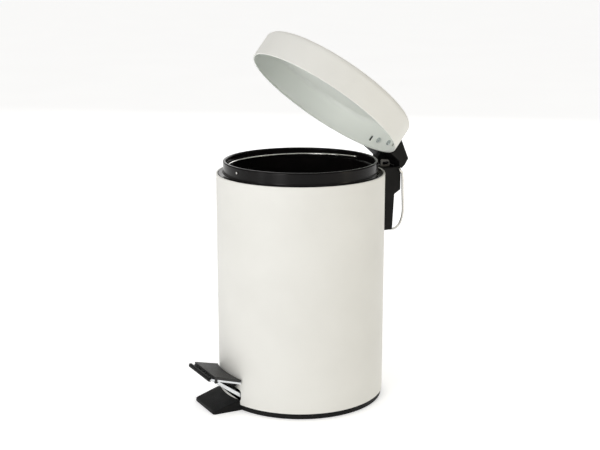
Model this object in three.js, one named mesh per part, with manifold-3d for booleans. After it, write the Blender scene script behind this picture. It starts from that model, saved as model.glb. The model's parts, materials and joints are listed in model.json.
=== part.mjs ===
// A small round pedal bin with its lid standing part open.
//
// Millimetres, +Z up. The origin is the centre of the base's underside. The pedal is at -Y and the
// lid's hinge at +Y, so every hinge axis of the lid, the pedal and the carry handle runs along X.

import * as THREE from 'three';
import { mergeVertices } from 'three/addons/utils/BufferGeometryUtils.js';
import Module from 'manifold-3d';

const wasm = await Module();
wasm.setup();

// ---------------------------------------------------------------------------------------------
// Driving dimensions

const gap = 0.3; // between pieces that touch
const facets = 72; // steps round the large turned pieces
const fine = 16; // steps round pins, rivets and holes
const degrees = Math.PI / 180;

const shell = {
  radius: 85, wall: 0.9, top: 232.2, hem: 1.8,
  flange: 9.8, flangeDrop: 1.6, lip: 4,
};
const base = { inset: 1.1, ring: 5.5, floor: 2.6, wall: 2.4, spigot: 16 };
const foot = {
  reach: 25.3, backHalf: 24.1, frontHalf: 22.6,
  backHeight: 10.8, frontHeight: 3.8, corner: 2.2,
};
const pads = { count: 3, radius: 7, depth: 1.4, ringInset: 17, firstAngle: 90 };

const bucket = {
  inset: 7, collar: 12.2, collarWall: 3.2, edge: 1.5, ledge: 1.6, ledgeDrop: 8.2,
  rimDrop: 0.2, fillet: 1.6, wall: 1.6, foot: 40, taper: 4, clear: 0.7,
};
const bail = { wire: 1.1, drop: 5, angle: 100, clear: 0.9, stub: 1.2, sag: 1.1 };

const lid = {
  over: 0.15, height: 29.7, wall: 0.9, corner: 5.6, rim: 1.8, seat: 4.8,
  open: 38.4, full: 85,
};
const hinge = {
  back: 16.3, below: 2.3, barrel: 2.4, half: 25.9,
  knuckleInner: 16.6, knuckleOuter: 20.3,
};
const block = {
  rise: 25.4, backTop: 12.4, backLow: 4.5, reach: 3.2, backIn: 0.6,
  knee: 5, kneeDrop: 0.5, toe: 1.8, heel: 2.4,
};
const tab = { half: 0.9, height: 2.7, recess: 0.5, offset: 22, up: 10.4 };
const rivet = { shank: 1.6, head: 3.2, dome: 1.3, length: 7, offset: 9.8, up: 11 };
const lug = { half: 2.5, reach: 15.3, back: 5.3, droop: 10, below: 2 };

const bracket = {
  faceDepth: 24, chamfer: 4.2, footBack: 9.3, neckBack: 11.4,
  length: 65.4, pocketHalf: 17.5,
};
const bracketRivets = [
  { x: 21, down: 20 },
  { x: -21, down: 20 },
  { x: 10, down: 57 },
  { x: -10, down: 57 },
];

const handle = { wire: 1.25, dropTop: 3.6, backTop: 2.9, straight: 41, backLow: 4.6 };

const pedal = {
  reach: 28.5, // front fold, out from the shell
  backGap: 1.6, // tread to shell
  backHalf: 28,
  frontHalf: 24.6,
  slope: 15.1,
  backHeight: 33, // top of the tread pad at its rear corners
  backIn: 4.5, // rear corners, in from the shell's radius
  pad: 2.6,
  padFront: 3.4, // bare plate in front of the pad
  plate: 1.8,
};
const lever = {
  thick: 1.6, half: 24, flange: 1.6, pivotIn: 27, pivotZ: 19, plateDrop: 7.4,
  tailHalf: 11, tailFlange: 3.6, bendIn: 8, tailRise: 4.9,
};
const pin = { radius: 2, half: 17.5, head: 3.2, headThick: 1.4 };
const cheek = { thick: 3, depth: 12 };

const rod = { wire: 1.5, inside: 4.6, head: 1.8, headHalf: 17.2, offset: 12.5, jogLow: 46, jogHigh: 30 };
const ear = {
  thick: 0.9, front: 4.6, back: 6.8, low: 1.6, rise: 8.2, shoulder: 3.2, fall: 1.3, band: 1.7,
};
const guide = { z: 118, height: 9, half: 7, thick: 1.8 };
const travel = { perDegree: 0.27 }; // push rod's rise for each degree of lid

// ---------------------------------------------------------------------------------------------
// Places worked out from the driving dimensions

const hingeY = shell.radius + hinge.back;
const hingeZ = shell.top - hinge.below;
const lidRim = shell.top + lid.seat;
const lidRadius = shell.radius + lid.over;
const collarRadius = shell.radius - bucket.inset;
const collarTop = shell.top + bucket.collar;
const leverY = -(shell.radius - lever.pivotIn);
const pedalFront = shell.radius + pedal.reach;
const pedalBack = shell.radius - pedal.backIn;
const rodInnerY = shell.radius - shell.wall - rod.inside + 0.2;
const rodOuterY = hingeY - rod.offset;
const riseToOpen = travel.perDegree * (lid.full - lid.open);
const dropToShut = travel.perDegree * lid.open;

// ---------------------------------------------------------------------------------------------
// Solids

function solidOf(geometry) {
  const bare = geometry.clone();
  bare.deleteAttribute('normal');
  bare.deleteAttribute('uv');
  const merged = mergeVertices(bare, 1e-4);
  return new wasm.Manifold(
    new wasm.Mesh({
      numProp: 3,
      vertProperties: new Float32Array(merged.attributes.position.array),
      triVerts: new Uint32Array(merged.index.array),
    }),
  );
}

function geometryOf(solid) {
  const mesh = solid.getMesh();
  const geometry = new THREE.BufferGeometry();
  geometry.setAttribute('position', new THREE.BufferAttribute(new Float32Array(mesh.vertProperties), 3));
  geometry.setIndex(new THREE.BufferAttribute(new Uint32Array(mesh.triVerts), 1));
  geometry.computeVertexNormals();
  return geometry;
}

function join(...solids) {
  return solids.reduce((whole, next) => whole.add(next));
}

function cut(solid, ...tools) {
  return tools.reduce((rest, tool) => rest.subtract(tool), solid);
}

// Outline points [a, b] run anticlockwise.
function outline(points) {
  return new THREE.Shape(points.map(([a, b]) => new THREE.Vector2(a, b)));
}

// A turned piece: [radius, height] points, anticlockwise seen with the radius to the right.
function turned(points, steps = facets) {
  const onAxis = points[0][0] === 0;
  const profile = (onAxis ? points : [...points, points[0]]).map(([r, z]) => new THREE.Vector2(r, z));
  const geometry = new THREE.LatheGeometry(profile, steps);
  geometry.rotateX(Math.PI / 2);
  return solidOf(geometry);
}

// An outline in the YZ plane, pulled along X from x0 to x1.
function pulledAlongX(points, x0, x1) {
  const geometry = new THREE.ExtrudeGeometry(outline(points), { depth: x1 - x0, bevelEnabled: false });
  geometry.applyMatrix4(
    new THREE.Matrix4().makeBasis(
      new THREE.Vector3(0, 1, 0),
      new THREE.Vector3(0, 0, 1),
      new THREE.Vector3(1, 0, 0),
    ),
  );
  geometry.translate(x0, 0, 0);
  return solidOf(geometry);
}

// An outline in the XY plane, pulled up from z0 to z1.
function pulledUp(points, z0, z1) {
  const geometry = new THREE.ExtrudeGeometry(outline(points), { depth: z1 - z0, bevelEnabled: false });
  geometry.translate(0, 0, z0);
  return solidOf(geometry);
}

function box(x0, x1, y0, y1, z0, z1) {
  const geometry = new THREE.BoxGeometry(x1 - x0, y1 - y0, z1 - z0);
  geometry.translate((x0 + x1) / 2, (y0 + y1) / 2, (z0 + z1) / 2);
  return solidOf(geometry);
}

function barAlongX(radius, x0, x1, y, z, steps = fine) {
  const geometry = new THREE.CylinderGeometry(radius, radius, x1 - x0, steps);
  geometry.rotateZ(Math.PI / 2);
  geometry.translate((x0 + x1) / 2, y, z);
  return solidOf(geometry);
}

function column(radius, z0, z1, steps = facets) {
  return turned([[0, z0], [radius, z0], [radius, z1], [0, z1]], steps);
}

// A flat strip of the given thickness from p to q in the YZ plane, pulled along X.
function strip(p, q, thick, x0, x1, shift = 0) {
  const length = Math.hypot(q[0] - p[0], q[1] - p[1]);
  const n = [-(q[1] - p[1]) / length, (q[0] - p[0]) / length];
  const low = shift - thick / 2;
  const high = shift + thick / 2;
  const at = ([y, z], d) => [y + n[0] * d, z + n[1] * d];
  return pulledAlongX([at(p, low), at(q, low), at(q, high), at(p, high)], x0, x1);
}

function tube(points, radius, steps, sides = 8) {
  const path = new THREE.CatmullRomCurve3(
    points.map(([x, y, z]) => new THREE.Vector3(x, y, z)),
    false,
    'centripetal',
  );
  const ring = new THREE.Shape();
  ring.absarc(0, 0, radius, 0, 2 * Math.PI, false);
  const geometry = new THREE.ExtrudeGeometry(ring, {
    steps,
    curveSegments: sides / 2,
    bevelEnabled: false,
    extrudePath: path,
  });
  return solidOf(geometry);
}

// A domed rivet along Y, its head at the -Y end at headY and its shank running to +Y.
function domedRivet(x, z, headY, size) {
  const profile = [[0, 0], [size.shank, 0], [size.shank, -size.length], [size.head, -size.length]];
  for (let i = 1; i <= 4; i += 1) {
    const a = (i / 5) * 90 * degrees;
    profile.push([size.head * Math.cos(a), -size.length - size.dome * Math.sin(a)]);
  }
  profile.push([0, -size.length - size.dome]);
  const points = profile.reverse().map(([r, h]) => new THREE.Vector2(r, h));
  const geometry = new THREE.LatheGeometry(points, fine);
  geometry.translate(x, headY + size.length + size.dome, z);
  return solidOf(geometry);
}

// ---------------------------------------------------------------------------------------------
// Scene

const group = new THREE.Group();

function finish(color, roughness, metalness = 0) {
  return new THREE.MeshStandardMaterial({ color, roughness, metalness });
}

const finishes = {
  paint: () => finish(0xeceae2, 0.55),
  black: () => finish(0x1b1b1c, 0.45),
  gloss: () => finish(0x141415, 0.3),
  zinc: () => finish(0xc9cdd2, 0.3, 1),
  rubber: () => finish(0x2a2a2b, 0.9),
};

function place(name, solid, material, parent = group) {
  const mesh = new THREE.Mesh(geometryOf(solid), material);
  mesh.name = name;
  parent.add(mesh);
}

// ---------------------------------------------------------------------------------------------
// Body shell: a rolled tube whose hemmed top edge carries a sunk flange for the bucket

function arcPoints(cx, cz, radius, from, to, steps) {
  const points = [];
  for (let i = 0; i <= steps; i += 1) {
    const a = (from + ((to - from) * i) / steps) * degrees;
    points.push([cx + radius * Math.cos(a), cz + radius * Math.sin(a)]);
  }
  return points;
}

// The corridor that the lever's arm needs, as an outline in the YZ plane.
const fold = [-pedalFront, treadCentre(pedalFront)];
const bend = [-(shell.radius - lever.bendIn), lever.pivotZ - lever.plateDrop];
const tailTip = [rodInnerY - 0.2, lever.pivotZ - lever.plateDrop + lever.tailRise];

function treadTop(out) {
  return pedal.backHeight + Math.tan(pedal.slope * degrees) * (out - pedalBack);
}

function treadCentre(out) {
  const depth = pedal.pad + gap + pedal.plate / 2;
  return treadTop(out) - depth / Math.cos(pedal.slope * degrees);
}

function armCorridor() {
  const reach = rodInnerY - leverY;
  const spare = 0.7;
  const below = lever.thick / 2 + (lever.pivotIn * riseToOpen) / reach + spare;
  const above = lever.thick / 2 + lever.flange + (lever.pivotIn * dropToShut) / reach + spare;
  const half = lever.half + 0.9;
  const run = 0.2;
  const inner = [bend[0] - (fold[0] - bend[0]) * run, bend[1] - (fold[1] - bend[1]) * run];
  const sweep = strip(inner, fold, below + above, -half, half, (below - above) / 2);
  return sweep.intersect(box(-half, half, -shell.radius - 6, bend[0] + 3, base.floor + 1, shell.top));
}

function bodyShell() {
  const r = shell.radius;
  const w = shell.wall;
  const e = shell.hem / 2;
  const inner = r - shell.flange;
  const top = shell.top;
  const flangeTop = top - shell.flangeDrop;
  const tube = turned([
    [r, base.ring + gap],
    ...arcPoints(r - e, top - e, e, 0, 180, 6),
    [r - shell.hem, flangeTop],
    [inner + w, flangeTop],
    [inner, flangeTop - w],
    [inner, top - shell.lip],
    [inner + w, top - shell.lip],
    [inner + w, flangeTop - w],
    [r - w, flangeTop - w],
    [r - w, base.ring + gap],
  ]);
  const slotLow = rodJog(0) - dropToShut - 3;
  const slotHigh = rodJog(1) + riseToOpen + 3;
  const rodSlot = box(-rod.wire - 1, rod.wire + 1, r - 4, r + 2, slotLow, slotHigh);
  const holes = bracketRivets.map(({ x, down }) => rivetHole(x, shell.top - down));
  return cut(tube, armCorridor(), rodSlot, ...holes);
}

function rivetHole(x, z) {
  const geometry = new THREE.CylinderGeometry(rivet.shank + gap, rivet.shank + gap, 40, fine);
  geometry.translate(x, shell.radius - 5, z);
  return solidOf(geometry);
}

// ---------------------------------------------------------------------------------------------
// Base: ring, floor, foot under the pedal, and the cheeks that carry the lever's pin

function baseMoulding() {
  const outer = shell.radius - base.inset;
  const spigot = shell.radius - shell.wall - gap;
  const ring = turned([
    [0, 0],
    [outer - 0.8, 0],
    [outer, 0.8],
    [outer, base.ring],
    [spigot, base.ring],
    [spigot, base.spigot],
    [spigot - base.wall, base.spigot],
    [spigot - base.wall, base.floor],
    [0, base.floor],
  ]);
  const notchHalf = rod.wire + 4.5;
  const notchLow = base.ring + 1;
  const rodNotch = box(-notchHalf, notchHalf, rodInnerY - 5, shell.radius, notchLow, base.spigot + 1);
  const whole = join(ring, footWedge(), ...leverCheeks());
  return cut(whole, armCorridor(), cheekHoles(), rodNotch, ...padPockets(0));
}

function footWedge() {
  const front = -(shell.radius + foot.reach);
  const c = foot.corner;
  const plan = pulledUp(
    [
      [-foot.frontHalf + c, front],
      [foot.frontHalf - c, front],
      [foot.frontHalf, front + c],
      [foot.backHalf, -shell.radius + 8],
      [-foot.backHalf, -shell.radius + 8],
      [-foot.frontHalf, front + c],
    ],
    0,
    foot.backHeight,
  );
  const side = pulledAlongX(
    [
      [front, 0],
      [-shell.radius + 8, 0],
      [-shell.radius + 8, foot.backHeight],
      [-shell.radius + 2, foot.backHeight],
      [front + 0.8, foot.frontHeight],
      [front, foot.frontHeight - 0.8],
    ],
    -foot.backHalf,
    foot.backHalf,
  );
  const wedge = plan.intersect(side);
  return cut(wedge, column(shell.radius + gap, base.ring, foot.backHeight + 1));
}

function leverCheeks() {
  return [-1, 1].map((side) => {
    const inner = lever.tailHalf + gap;
    const x = [side * inner, side * (inner + cheek.thick)].sort((a, b) => a - b);
    const top = lever.pivotZ + pin.radius + 2.5;
    return box(x[0], x[1], leverY - cheek.depth / 2, leverY + cheek.depth / 2, base.floor - 1, top);
  });
}

function cheekHoles() {
  return barAlongX(pin.radius + gap, -pin.half, pin.half, leverY, lever.pivotZ);
}

function padPlace(index) {
  const angle = (pads.firstAngle + (360 / pads.count) * index) * degrees;
  const r = shell.radius - pads.ringInset;
  return [r * Math.cos(angle), r * Math.sin(angle)];
}

function padPockets(shrink) {
  return Array.from({ length: pads.count }, (_, index) => {
    const [x, y] = padPlace(index);
    const depth = pads.depth - shrink;
    return column(pads.radius - shrink, shrink ? 0 : -1, depth, fine * 2).translate([x, y, 0]);
  });
}

// ---------------------------------------------------------------------------------------------
// Inner bucket, hung by its rim on the shell's flange, and its wire bail

function innerBucket() {
  const seat = shell.top - shell.flangeDrop + gap;
  const rimTop = shell.top - bucket.rimDrop;
  const rimOut = shell.radius - shell.hem - gap;
  const out = collarRadius;
  const wallTop = shell.radius - shell.flange - bucket.clear;
  const wallFoot = wallTop - bucket.taper;
  const innerTop = out - bucket.collarWall;
  const ledgeZ = collarTop - bucket.ledgeDrop;
  const e = bucket.edge;
  const f = bucket.fillet;
  return cut(
    turned([
      [0, bucket.foot],
      [wallFoot - 3, bucket.foot],
      [wallFoot, bucket.foot + 3],
      [wallTop, seat - 4],
      [wallTop, seat],
      [rimOut, seat],
      [rimOut, rimTop],
      ...arcPoints(out + f, rimTop + f, f, 270, 180, 3),
      ...arcPoints(out - e, collarTop - e, e, 0, 90, 3),
      ...arcPoints(innerTop + e, collarTop - e, e, 90, 180, 3),
      [innerTop, ledgeZ],
      [innerTop - bucket.ledge, ledgeZ],
      [wallTop - bucket.wall, ledgeZ - 3],
      [wallFoot - bucket.wall, bucket.foot + 4],
      [wallFoot - bucket.wall - 2.4, bucket.foot + bucket.wall],
      [0, bucket.foot + bucket.wall],
    ]),
    bailBore(),
  );
}

function bailTurn(solid) {
  return solid.rotate([0, 0, bail.angle]);
}

function bailBore() {
  const reach = collarRadius + 1;
  return bailTurn(barAlongX(bail.wire + gap, -reach, reach, 0, collarTop - bail.drop));
}

function bucketBail() {
  const z = collarTop - bail.drop;
  const radius = collarRadius - bucket.collarWall - bail.wire - bail.clear;
  const points = [];
  for (let i = 0; i <= 24; i += 1) {
    const a = 180 * (i / 24) * degrees;
    points.push([-radius * Math.cos(a), radius * Math.sin(a), z - bail.sag * Math.sin(a)]);
  }
  const loop = tube(points, bail.wire, 36);
  const ends = [-1, 1].map((side) => {
    const x = [side * (radius - 0.6), side * (collarRadius + bail.stub)].sort((a, b) => a - b);
    return barAlongX(bail.wire, x[0], x[1], 0, z, 12);
  });
  return bailTurn(join(loop, ...ends));
}

// ---------------------------------------------------------------------------------------------
// Lid, drawn shut: the group turns it open about the hinge

function lidShell() {
  const r = lidRadius;
  const w = lid.wall;
  const c = lid.corner;
  const top = lidRim + lid.height;
  const roll = lid.rim;
  const shellOfLid = turned([
    [r - roll, lidRim],
    [r - 0.5, lidRim],
    [r, lidRim + 0.5],
    ...arcPoints(r - c, top - c, c, 0, 90, 6),
    [0, top],
    [0, top - w],
    ...arcPoints(r - c, top - c, c - w, 90, 0, 6),
    [r - w, lidRim + roll],
    [r - roll, lidRim + roll],
  ]);
  const slots = [-1, 1].map((side) => tabBox(side, gap));
  const holes = [-1, 1].map((side) => rivetHole(side * rivet.offset, lidRim + rivet.up));
  return cut(shellOfLid, ...slots, ...holes);
}

function tabBox(side, spare) {
  const x = side * tab.offset;
  const z = lidRim + tab.up;
  const half = tab.half + spare;
  const tall = tab.height + spare;
  return box(x - half, x + half, lidRadius - 8, lidRadius, z - tall, z + tall);
}

function hingeBlock() {
  const bottom = hingeZ + hinge.barrel + gap;
  const back = hingeY + block.reach;
  const body = pulledAlongX(
    [
      [lidRadius - 14, lidRim],
      [lidRadius, lidRim],
      [hingeY - block.knee, lidRim - block.kneeDrop],
      [hingeY - block.toe, bottom],
      [hingeY + block.heel, bottom],
      [back, bottom + block.backLow],
      [back - block.backIn, bottom + block.backTop],
      [lidRadius - 14, lidRim + block.rise],
    ],
    -hinge.half,
    hinge.half,
  );
  const clearLid = cut(body, column(lidRadius + gap, lidRim - 5, lidRim + lid.height + 5));
  const tabs = [-1, 1].map((side) => {
    const long = tabBox(side, 0);
    const open = column(lidRadius - tab.recess, lidRim - 5, lidRim + lid.height);
    return cut(join(long, long.translate([0, 6, 0])), open);
  });
  const knuckles = [-1, 1].flatMap((side) => {
    const x = [side * hinge.knuckleInner, side * hinge.knuckleOuter].sort((a, b) => a - b);
    const neck = box(x[0], x[1], hingeY - hinge.barrel, hingeY + hinge.barrel, hingeZ, bottom + 2);
    return [neck, barAlongX(hinge.barrel, x[0], x[1], hingeY, hingeZ)];
  });
  const rivetHoles = [-1, 1].map((side) => rivetHole(side * rivet.offset, lidRim + rivet.up));
  const bore = barAlongX(handle.wire + gap, -hinge.half, hinge.half, hingeY, hingeZ);
  return cut(join(clearLid, ...tabs, ...knuckles, rodLug()), ...rivetHoles, bore);
}

// The rib under the block that the push rod lifts. Its underside lies on a line through the hinge.
function rodLug() {
  const a = lug.droop * degrees;
  const under = (d) => hingeZ - d * Math.tan(a) - lug.below / Math.cos(a);
  const tip = hingeY - lug.reach;
  const heel = hingeY - lug.back;
  return pulledAlongX(
    [
      [tip, under(lug.reach) + 1.2],
      [tip + 1.2, under(lug.reach - 1.2)],
      [heel, under(lug.back)],
      [heel, lidRim + 1],
      [tip, lidRim + 1],
    ],
    -lug.half,
    lug.half,
  );
}

// ---------------------------------------------------------------------------------------------
// Hinge bracket on the back of the shell

function hingeBracket() {
  const r = shell.radius;
  const top = hingeZ + hinge.barrel;
  const face = hingeY + hinge.barrel;
  const low = top - bracket.length;
  const body = pulledAlongX(
    [
      [r - 12, low],
      [r + bracket.footBack - 1, low],
      [r + bracket.footBack, low + 1],
      [r + bracket.neckBack, top - bracket.faceDepth - bracket.chamfer],
      [face, top - bracket.faceDepth],
      ...arcPoints(hingeY, hingeZ, hinge.barrel, 0, 90, 4),
      [r - 12, top],
    ],
    -hinge.half,
    hinge.half,
  );
  const shellSide = column(r + gap, low - 1, top + 1);
  const pocketBack = hingeY - 3.3;
  const pocketLow = rodHeadZ() - dropToShut - rod.head - 3;
  const pocket = box(-bracket.pocketHalf, bracket.pocketHalf, 0, pocketBack, pocketLow, top + 1);
  const channelLow = rodJog(0) - dropToShut - 4;
  const channel = box(-rod.wire - 1, rod.wire + 1, 0, rodOuterY + rod.wire + 1.1, channelLow, top + 1);
  const notches = [-1, 1].map((side) => {
    const x = [side * (hinge.knuckleInner - gap), side * (hinge.knuckleOuter + gap)].sort((a, b) => a - b);
    return box(x[0], x[1], pocketBack - 2, face + 1, hingeZ - hinge.barrel - gap, top + 1);
  });
  const bore = barAlongX(handle.wire + gap, -hinge.half - 1, hinge.half + 1, hingeY, hingeZ);
  const holes = bracketRivets.map(({ x, down }) => {
    const depth = rivet.length - rivet.dome;
    const geometry = new THREE.CylinderGeometry(rivet.shank + gap, rivet.shank + gap, 2 * depth, fine);
    geometry.translate(x, shellDepthAt(x), shell.top - down);
    return solidOf(geometry);
  });
  return cut(body, shellSide, pocket, channel, ...notches, bore, ...holes);
}

function shellDepthAt(x) {
  return Math.sqrt(shell.radius * shell.radius - x * x);
}

// ---------------------------------------------------------------------------------------------
// Carry handle: a wire loop whose ends turn in through the bracket and the lid's knuckles

function carryHandle() {
  const x = hinge.half + gap + handle.wire + 0.1;
  const y = hingeY;
  const z = hingeZ;
  const elbow = 2.2;
  const side = [
    [x, y, z - 0.1],
    [x, y + 0.35, z - 1.2],
    [x, y + handle.backTop, z - handle.dropTop - 0.6],
    [x, y + handle.backTop + 0.4, z - 10],
    [x, y + handle.backTop + 0.9, z - 25],
    [x, y + handle.backLow, z - handle.straight],
  ];
  const points = [...side];
  for (let i = 1; i < 16; i += 1) {
    const a = 180 * (i / 16) * degrees;
    const drop = handle.straight + x * Math.sin(a);
    points.push([x * Math.cos(a), y + handle.backLow + 0.3 * Math.sin(a), z - drop]);
  }
  points.push(...side.map(([px, py, pz]) => [-px, py, pz]).reverse());
  const loop = tube(points, handle.wire, 72);
  const ends = [-1, 1].map((s) => {
    const inner = hinge.knuckleInner - elbow;
    const ex = [s * inner, s * (x + handle.wire)].sort((a, b) => a - b);
    return barAlongX(handle.wire, ex[0], ex[1], y, z, 12);
  });
  return join(loop, ...ends);
}

// ---------------------------------------------------------------------------------------------
// Pedal: one bent steel strip, its tread pad, the filler under the tread and the front lip

function treadPlan(inset, frontOut) {
  const back = pedal.backHalf - inset;
  const front = pedal.frontHalf - inset;
  const rear = -(shell.radius - 9);
  const halfAt = (out) => back + ((front - back) * (out - pedalBack)) / (pedalFront - pedalBack);
  const side = halfAt(-rear);
  const c = 1.2;
  const plan = pulledUp(
    [
      [-halfAt(frontOut) + c, -frontOut],
      [halfAt(frontOut) - c, -frontOut],
      [halfAt(frontOut), -frontOut + c],
      [side, rear],
      [-side, rear],
      [-halfAt(frontOut), -frontOut + c],
    ],
    0,
    80,
  );
  return cut(plan, column(shell.radius + pedal.backGap, -1, 81));
}

function treadLayer(from, thick, plan) {
  const a = pedal.slope * degrees;
  const at = (out) => [-out, treadTop(out) - (from + thick / 2) / Math.cos(a)];
  const wide = 2 * pedal.backHalf;
  return strip(at(pedalFront + 20), at(pedalBack - 20), thick, -wide, wide).intersect(plan);
}

function pedalPad() {
  const plan = treadPlan(0, pedalFront - pedal.padFront);
  const pad = treadLayer(0, pedal.pad, plan);
  const ribs = Array.from({ length: 5 }, (_, index) => {
    const out = shell.radius + 7 + index * 3.4;
    const z = treadTop(out);
    return barAlongX(0.55, -pedal.frontHalf + 4, pedal.frontHalf - 4, -out, z + 0.25, 8);
  });
  return cut(pad, ...ribs);
}

function pedalLever() {
  const tread = treadLayer(pedal.pad + gap, pedal.plate, treadPlan(0.6, pedalFront));
  const edge = barAlongX(pedal.plate / 2, -pedal.frontHalf + 2, pedal.frontHalf - 2, fold[0], fold[1]);
  const arm = strip(bend, fold, lever.thick, -lever.half, lever.half);
  const armFlanges = [-1, 1].map((side) => {
    const x = [side * lever.half, side * (lever.half - lever.thick)].sort((a, b) => a - b);
    const t = 0.8;
    const stop = [bend[0] + (fold[0] - bend[0]) * t, bend[1] + (fold[1] - bend[1]) * t];
    return strip(bend, stop, lever.flange + lever.thick, x[0], x[1], -lever.flange / 2);
  });
  const corner = barAlongX(lever.thick / 2, -lever.half, lever.half, bend[0], bend[1], 12);
  const yokeEnd = [leverY - cheek.depth / 2 - 2, bend[1]];
  const yoke = strip(bend, yokeEnd, lever.thick, -lever.half + 1, lever.half - 1);
  const tailFrom = [bend[0] + 2, bend[1]];
  const tail = strip(tailFrom, tailTip, lever.thick, -lever.tailHalf, lever.tailHalf);
  const tailFlanges = [-1, 1].map((side) => {
    const x = [side * lever.tailHalf, side * (lever.tailHalf - lever.thick)].sort((a, b) => a - b);
    const tall = lever.thick + lever.tailFlange;
    return strip(tailFrom, tailTip, tall, x[0], x[1], lever.tailFlange / 2);
  });
  const bosses = [-1, 1].map((side) => {
    const x = [side * lever.tailHalf, side * (lever.tailHalf - lever.thick)].sort((a, b) => a - b);
    const r = pin.radius + 2.2;
    const web = box(x[0], x[1], leverY - r, leverY + r, lever.pivotZ - lever.plateDrop, lever.pivotZ);
    return join(web, barAlongX(r, x[0], x[1], leverY, lever.pivotZ));
  });
  const bore = barAlongX(pin.radius + gap, -pin.half, pin.half, leverY, lever.pivotZ);
  const linkHole = column(rod.wire + 1.6, 0, 60, fine).translate([0, rodInnerY, 0]);
  const whole = join(tread, edge, arm, ...armFlanges, corner, yoke, tail, ...tailFlanges, ...bosses);
  return cut(whole, bore, linkHole);
}

function pedalFiller() {
  const a = pedal.slope * degrees;
  const under = (out) => treadCentre(out) - (pedal.plate / 2 + gap) / Math.cos(a);
  const armSlope = (fold[1] - bend[1]) / (bend[0] - fold[0]);
  const rise = (lever.thick / 2 + lever.flange + gap) / Math.cos(Math.atan(armSlope));
  const armTop = (out) => bend[1] + (out + bend[0]) * armSlope + rise;
  const rear = shell.radius - 0.9;
  const tip = shell.radius + 4.5;
  const middle = shell.radius + 12;
  const front = shell.radius + 16;
  const body = pulledAlongX(
    [
      [-rear, under(rear)],
      [-front, under(front)],
      [-front, armTop(front)],
      [-middle, armTop(middle)],
      [-tip, under(tip) - 3.8],
      [-rear - 1.9, under(rear + 1.9) - 2.6],
    ],
    -pedal.frontHalf + 1,
    pedal.frontHalf - 1,
  );
  return cut(body, column(shell.radius + pedal.backGap + 0.4, 0, 80));
}

function pedalLip() {
  const a = pedal.slope * degrees;
  const inner = [fold[0] + 1.6, fold[1] - 1.6 * Math.tan(a)];
  const outer = [fold[0] - 2.8, fold[1] + 2.8 * Math.tan(a)];
  const body = strip(outer, inner, 4.6, -pedal.frontHalf - 0.4, pedal.frontHalf + 0.4);
  const wide = 2 * pedal.frontHalf;
  const behind = [fold[0] + 20, fold[1] - 20 * Math.tan(a)];
  const tread = strip([fold[0] - 0.4, fold[1]], behind, pedal.plate + 2 * gap, -wide, wide);
  const round = barAlongX(pedal.plate / 2 + gap, -wide, wide, fold[0], fold[1]);
  const arm = strip(bend, fold, lever.thick + 2 * gap, -wide, wide);
  return cut(body, tread, round, arm);
}

// ---------------------------------------------------------------------------------------------
// Lever pin and its clip

function leverPin() {
  const x = pin.half;
  const shank = barAlongX(pin.radius, -x, x, leverY, lever.pivotZ);
  const head = barAlongX(pin.head, -x - pin.headThick, -x + 0.2, leverY, lever.pivotZ);
  return join(shank, head);
}

function pinClip() {
  const x0 = lever.tailHalf + gap + cheek.thick + gap;
  const ring = barAlongX(pin.radius + 2.4, x0, x0 + 1, leverY, lever.pivotZ);
  return cut(ring, barAlongX(pin.radius + gap, x0 - 1, x0 + 2, leverY, lever.pivotZ));
}

// ---------------------------------------------------------------------------------------------
// Push rod: up inside the shell, out through its slot into the bracket, with a cross head on top

function rodHeadZ() {
  const a = (lid.open - lug.droop) * degrees;
  const under = hingeZ + rod.offset * Math.tan(a) - lug.below / Math.cos(a);
  return under - (rod.head + gap) / Math.cos(a);
}

function rodJog(end) {
  const low = shell.top - rod.jogLow;
  const high = shell.top - rod.jogHigh;
  return low + (high - low) * end;
}

function rodFootZ() {
  return lever.pivotZ - lever.plateDrop + lever.tailRise;
}

function pushRod() {
  const low = rodFootZ() - 3;
  const headLow = rodHeadZ() - rod.head - gap;
  return tube(
    [
      [0, rodInnerY, low],
      [0, rodInnerY, low + 40],
      [0, rodInnerY, low + 90],
      [0, rodInnerY, rodJog(0) - 12],
      [0, rodInnerY, rodJog(0) - 3],
      [0, (rodInnerY + rodOuterY) / 2, (rodJog(0) + rodJog(1)) / 2],
      [0, rodOuterY, rodJog(1) + 3],
      [0, rodOuterY, headLow],
    ],
    rod.wire,
    40,
  );
}

// The cross head lifts the lid's lug, and carries an ear with a window at its right end.
function rodHead() {
  const z = rodHeadZ();
  const front = rodOuterY - ear.front;
  const back = rodOuterY + ear.back;
  const inner = rod.headHalf - ear.thick;
  const top = z + ear.rise;
  const plate = pulledAlongX(
    [
      [front, z - ear.low],
      [back, z - ear.low],
      [back, z + ear.shoulder],
      [back - ear.fall, top - ear.fall],
      [front + ear.fall, top],
      [front, top - ear.fall],
    ],
    inner,
    rod.headHalf,
  );
  const windowLow = z + rod.head + 0.4;
  const windowHigh = top - ear.fall - ear.band;
  const windowFront = front + 1.5 * ear.band;
  const window = box(inner - 1, rod.headHalf + 1, windowFront, back - ear.band, windowLow, windowHigh);
  return join(barAlongX(rod.head, -rod.headHalf, rod.headHalf, rodOuterY, z), cut(plate, window));
}

function rodFoot() {
  const z = rodFootZ() + lever.thick / 2 + 0.7;
  const collar = column(rod.wire + 2.6, z, z + 6, fine).translate([0, rodInnerY - 0.4, 0]);
  return cut(collar, column(rod.wire + gap, z - 1, z + 8, fine).translate([0, rodInnerY, 0]));
}

function rodGuide() {
  const outer = shell.radius - shell.wall - gap;
  const inner = rodInnerY - rod.wire - guide.thick;
  const wedge = box(-guide.half, guide.half, inner, shell.radius, guide.z, guide.z + guide.height);
  const body = wedge.intersect(column(outer, guide.z - 1, guide.z + guide.height + 1));
  const bore = column(rod.wire + gap + 0.1, guide.z - 1, guide.z + guide.height + 1, fine);
  return cut(body, bore.translate([0, rodInnerY, 0]));
}

// ---------------------------------------------------------------------------------------------
// Assembly

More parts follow.
